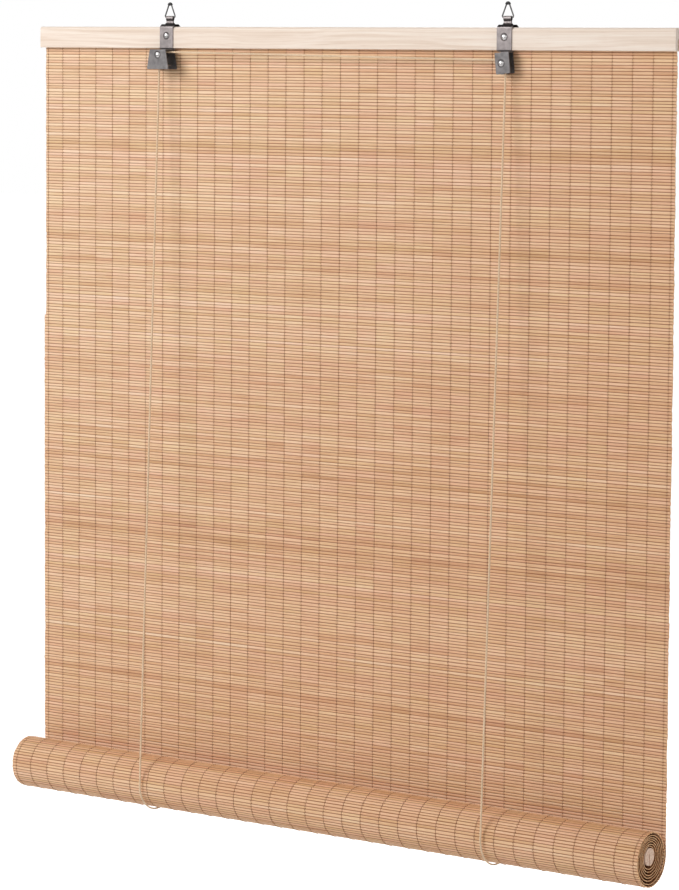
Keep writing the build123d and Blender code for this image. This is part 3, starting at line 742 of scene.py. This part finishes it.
def wheel_arc(before, corner, after):
    """Arc of the wheel's radius that rounds a corner of the cross run."""
    to_before = (before - corner).normalized()
    to_after = (after - corner).normalized()
    half_angle = to_before.angle(to_after) / 2
    centre = corner + (to_before + to_after).normalized() * (CORD_ON_WHEEL / sin(half_angle))
    setback = CORD_ON_WHEEL * cos(half_angle) / sin(half_angle)
    start = corner + to_before * setback - centre
    end = corner + to_after * setback - centre
    return [centre + start.lerp(end, k / WHEEL_STEPS).normalized() * CORD_ON_WHEEL
            for k in range(WHEEL_STEPS + 1)]


def vertical_cord(name, node, top, bottom):
    """Straight run between the rail and the roll."""
    piece = rope(name, [top, bottom], "rail_and_mat")
    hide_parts(node)
    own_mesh(piece)


def tie_knot(side, strand_top):
    """Overhand knot behind the strap, with its short tail."""
    ball = Vector((strand_top.x, KNOT_Y, KNOT_Z))
    track = [strand_top, strand_top + Vector((0, 0.5 * MM, CORD_RADIUS))]
    for k in range(KNOT_STEPS + 1):
        t = 2 * pi * k / KNOT_STEPS * KNOT_SHARE + KNOT_START
        trefoil = Vector((sin(t) + 2 * sin(2 * t), -1.3 * sin(3 * t), cos(t) - 2 * cos(2 * t)))
        track.append(ball + KNOT_SIZE * trefoil)
    for step in KNOT_TAIL:
        track.append(track[-1] + step)
    knot = rope(f"cord_knot_{side}", track, "rail_and_mat")
    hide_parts(f"knot_{side}")


def side_cords(side, corner, bight_x, knot_x):
    """Front drop, back strand, bight and knot of one side; returns the end of the cross run's tail."""
    front_touch = touching_point(bight_x, corner, 1)
    downwards = (front_touch - corner).normalized()
    tail = corner + downwards * CORD_TAIL
    lead = front_touch - downwards * BIGHT_LEAD
    vertical_cord(f"cord_drop_{side}", f"cord_front_{side}", tail, lead)

    strand_top = Vector((knot_x, STRAND_Y, KNOT_Z - CORD_RADIUS))
    back_touch = touching_point(bight_x, strand_top, -1)
    vertical_cord(f"cord_rise_{side}", f"cord_back_{side}", strand_top, back_touch)

    bight = rope(f"cord_loop_{side}", [lead, *bight_arc(front_touch, back_touch)], "roll_cords")
    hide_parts(f"cord_bight_{side}")
    tie_knot(side, strand_top)
    return tail


def thread_cord():
    """The lift cord: both sides, and the cross run over the pulley and the lock wheel."""
    left = Vector((LOCK_X - CORD_ON_WHEEL, LOCK_LANE_Y, LOCK_AXLE_Z + CORD_ON_WHEEL))
    right = Vector((PULLEY_X + CORD_ON_WHEEL, PULLEY_LANE_Y, PULLEY_AXLE_Z + CORD_ON_WHEEL))
    left_tail = side_cords("left", left, bight_x=-248 * MM, knot_x=-252 * MM)
    right_tail = side_cords("right", right, bight_x=250 * MM, knot_x=239 * MM)
    track = [right_tail, *wheel_arc(right_tail, right, left), *wheel_arc(right, left, left_tail), left_tail]
    cross = rope("cord_over_wheels", track, "rail_and_mat")
    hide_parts("cord_cross")


# Finishes that differ from the one their slot names
PLATING = {"strap_left": "strap_steel", "strap_right": "strap_steel", "lock_spacer": "dark_steel"}


def finish_cad_pieces():
    """Materials of the pieces that keep their CAD shape."""
    for row in frame["record"]["subparts"]:
        node = frame["nodes"][row["node"]]
        finish = PLATING.get(row["node"], row["material_slot"])
        node.data.materials.clear()
        node.data.materials.append(MATERIALS[finish])


# Studio
WHITE = (1, 1, 1, 1)
FLOOR_Z = -1.6
FLOOR_REACH = 25
FLOOR_GLOW = 0.8   # added to the floor for the camera alone
AMBIENT = 0.33
CAMERA_PLACE = (2.40565, -3.38543, -0.05374)
CAMERA_HEADING = radians(35.3916)
CAMERA_TILT = radians(90 - 4.7368)
CAMERA_ROLL = radians(0.3739)
CAMERA_LENS = 142.03
CAMERA_SHIFT = -0.1166


def lay_floor():
    """Pale floor that looks white to the camera and keeps the shade's shadow."""
    mesh = bpy.data.meshes.new("floor")
    corners = [(x * FLOOR_REACH, y * FLOOR_REACH, FLOOR_Z) for x, y in ((-1, -1), (1, -1), (1, 1), (-1, 1))]
    mesh.from_pydata(corners, [], [(0, 1, 2, 3)])
    floor = bpy.data.objects.new("floor", mesh)
    bpy.context.scene.collection.objects.link(floor)
    paint = Paint("floor")
    camera_ray = paint.node("ShaderNodeLightPath").outputs["Is Camera Ray"]
    glow = paint.math("MULTIPLY", camera_ray, FLOOR_GLOW)
    paint.feed(paint.shader.inputs["Emission Strength"], glow)
    paint.feed(paint.shader.inputs["Emission Color"], WHITE)
    mesh.materials.append(paint.finish((0.9, 0.9, 0.9, 1), 0.9, specular=0.1))


def light_world():
    """Dim ambient light, and a white backdrop for what the camera sees, mirrored or not.

    Mirrors see the backdrop darken overhead, so that the metal doesn't glare.
    """
    world = bpy.data.worlds.new("studio")
    bpy.context.scene.world = world
    world.use_nodes = True
    world.node_tree.nodes.clear()
    sky = Nodes(world.node_tree)
    ray = sky.node("ShaderNodeLightPath").outputs
    seen = sky.math("MAXIMUM", ray["Is Camera Ray"], ray["Is Glossy Ray"])
    seen = sky.math("MAXIMUM", seen, ray["Is Transmission Ray"])
    height = sky.parts(sky.node("ShaderNodeTexCoord").outputs["Generated"])["Z"]
    overhead = sky.range(height, 0.35, 0.75, 0.0, 0.85)
    level = sky.math("SUBTRACT", 1.0, sky.math("MULTIPLY", overhead, ray["Is Glossy Ray"]))
    ambient = sky.node("ShaderNodeBackground", {"Color": WHITE, "Strength": AMBIENT}).outputs[0]
    backdrop = sky.node("ShaderNodeBackground", {"Color": WHITE, "Strength": level}).outputs[0]
    shown = sky.node("ShaderNodeMixShader", {0: seen, 1: ambient, 2: backdrop}).outputs[0]
    sky.node("ShaderNodeOutputWorld", {"Surface": shown})


def area_light(name, place, target, size, power):
    """Square lamp at a place, turned to a target."""
    lamp = bpy.data.objects.new(name, bpy.data.lights.new(name, "AREA"))
    lamp.data.size = size
    lamp.data.energy = power
    lamp.location = place
    lamp.rotation_euler = (Vector(target) - Vector(place)).to_track_quat("-Z", "Y").to_euler()
    bpy.context.scene.collection.objects.link(lamp)


def set_camera():
    """Camera at the photograph's viewing angle."""
    camera = bpy.data.objects.new("camera", bpy.data.cameras.new("camera"))
    camera.data.lens = CAMERA_LENS
    camera.data.shift_y = CAMERA_SHIFT
    camera.data.clip_end = 100
    camera.matrix_world = (
        Matrix.Translation(CAMERA_PLACE)
        @ Matrix.Rotation(CAMERA_HEADING, 4, "Z")
        @ Matrix.Rotation(CAMERA_TILT, 4, "X")
        @ Matrix.Rotation(CAMERA_ROLL, 4, "Z")
    )
    bpy.context.scene.collection.objects.link(camera)
    bpy.context.scene.camera = camera


warp_x = warp_places()
hang_mat(warp_x)
roll_mat(warp_x)
thread_cord()
finish_cad_pieces()

lay_floor()
light_world()
area_light("key", (-1.9, -2.6, 1.3), (-0.1, 0, -0.4), size=1.8, power=88)
area_light("side_fill", (3.0, -0.8, -0.2), (0.2, 0, -0.6), size=1.2, power=14)
area_light("back", (-1.6, 2.8, 1.0), (0, 0, -0.5), size=1.8, power=62)
set_camera()
bpy.context.scene.view_settings.view_transform = "Standard"
